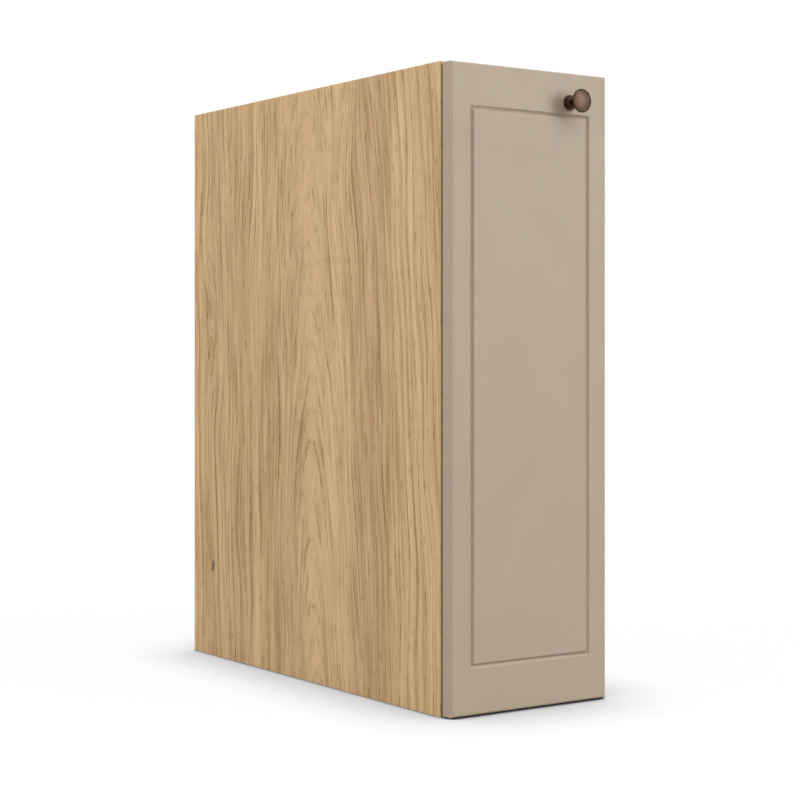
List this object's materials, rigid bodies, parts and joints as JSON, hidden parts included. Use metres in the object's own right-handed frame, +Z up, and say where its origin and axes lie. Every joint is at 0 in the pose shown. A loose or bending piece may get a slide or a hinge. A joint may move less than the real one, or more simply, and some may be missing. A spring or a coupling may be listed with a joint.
{
  "type": "kitchen base cabinet",
  "caption": "Narrow kitchen base cabinet with open top, one shelf and a left-hung routed door on concealed cup hinges with a round knob.",
  "frame": {"origin": "centre of the carcass footprint on the floor, at the underside of the bottom panel", "axes": "+Z up along the height, +X to the right seen from the front, +Y from the door towards the wall"},
  "size_m": [0.225, 0.602, 0.72],
  "materials": {
    "oak_board": "matt oak-decor melamine on particle board",
    "edge_band": "matt oak-decor edge band",
    "hardboard": "thin fibreboard with a printed face",
    "door_front": "matt taupe foil on routed fibreboard",
    "antique_bronze": "antique bronze, satin",
    "zinc_fittings": "bright zinc plate",
    "hinge_nickel": "nickel-plated pressed steel",
    "hinge_steel": "plain steel",
    "beech_dowel": "fluted beech",
    "clear_pad": "clear soft polyurethane"
  },
  "bodies": {
    "carcass": {"shelf": "oak_board", "right_side_panel": "oak_board", "bottom_panel": "oak_board", "left_side_panel": "oak_board", "rear_top_rail": "oak_board", "front_top_rail": "oak_board", "left_edge_band": "edge_band", "rail_edge_band": "edge_band", "bottom_edge_band": "edge_band", "right_edge_band": "edge_band", "shelf_edge_band": "edge_band", "back_panel": "hardboard", "shelf_pins": "zinc_fittings", "dowels": "beech_dowel", "cam_bolts": "zinc_fittings", "cam_locks": "zinc_fittings", "back_screws": "zinc_fittings", "lower_mounting_plate": "hinge_nickel", "lower_plate_screws": "hinge_steel", "lower_arm": "hinge_nickel", "lower_arm_screws": "hinge_steel", "lower_arm_pins": "hinge_steel", "lower_spring": "hinge_steel", "upper_mounting_plate": "hinge_nickel", "upper_plate_screws": "hinge_steel", "upper_arm": "hinge_nickel", "upper_arm_screws": "hinge_steel", "upper_arm_pins": "hinge_steel", "upper_spring": "hinge_steel"},
    "outer_links": {"lower_outer_link": "hinge_nickel", "upper_outer_link": "hinge_nickel"},
    "inner_links": {"lower_inner_link": "hinge_steel", "upper_inner_link": "hinge_steel"},
    "door": {"door_panel": "door_front", "knob_rosette": "antique_bronze", "knob": "antique_bronze", "knob_screw": "zinc_fittings", "door_bumpers": "clear_pad", "lower_cup": "hinge_nickel", "lower_cup_pins": "hinge_steel", "lower_cup_screws": "hinge_steel", "upper_cup": "hinge_nickel", "upper_cup_pins": "hinge_steel", "upper_cup_screws": "hinge_steel"}
  },
  "joints": [
    {"name": "outer_link_turn", "type": "hinge", "parent": "carcass", "child": "outer_links", "pos_m": [-0.0735, -0.2675, 0.36], "axis": [0, 0, 1], "range_deg": [0, 26.7]},
    {"name": "door_swing", "type": "hinge", "parent": "outer_links", "child": "door", "pos_m": [-0.1005, -0.284, 0.36], "axis": [0, 0, -1], "range_deg": [0, 121.6]},
    {"name": "inner_link_turn", "type": "hinge", "parent": "carcass", "child": "inner_links", "pos_m": [-0.0765, -0.2833, 0.36], "axis": [0, 0, 1], "range_deg": [0, 21.95]}
  ],
  "couplings": [
    {"joint": "outer_link_turn", "follows": "door_swing", "ratio": 0.21875},
    {"joint": "inner_link_turn", "follows": "door_swing", "ratio": 0.17969}
  ]
}
